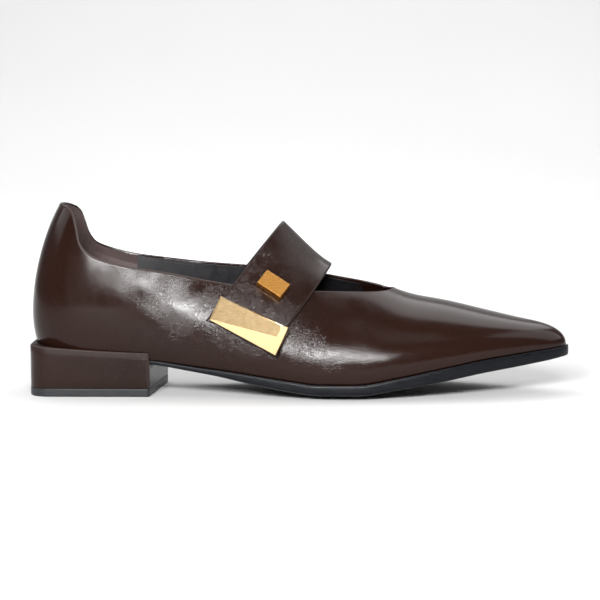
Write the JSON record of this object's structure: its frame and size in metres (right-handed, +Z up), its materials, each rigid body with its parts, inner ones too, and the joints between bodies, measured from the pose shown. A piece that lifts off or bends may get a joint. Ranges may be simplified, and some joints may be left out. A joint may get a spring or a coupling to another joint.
{
  "type": "ballet flat",
  "caption": "Pointed ballet flat with a low block heel, a hollow leather upper and a wide strap over the instep.",
  "frame": {"origin": "on the floor, under the middle of the shoe's bounding box", "axes": "+X from the heel towards the toe, +Y towards the inner (medial) side of the foot, +Z up"},
  "size_m": [0.271, 0.0786, 0.0952],
  "materials": {
    "outsole": "satin black, thin edge buffed",
    "top_piece": "satin black",
    "heel_cover": "polished espresso brown",
    "insole": "matt dark lining leather",
    "upper_leather": "polished espresso brown, fine crinkled grain",
    "strap_leather": "polished espresso brown, fine crinkled grain",
    "bar_metal": "polished pale gold",
    "stud_metal": "brushed gold"
  },
  "bodies": {
    "root": {"outsole": "outsole", "heel_top_piece": "top_piece", "heel_block": "heel_cover", "insole": "insole", "upper": "upper_leather", "strap": "strap_leather", "strap_bar": "bar_metal", "strap_stud": "stud_metal"}
  },
  "joints": []
}
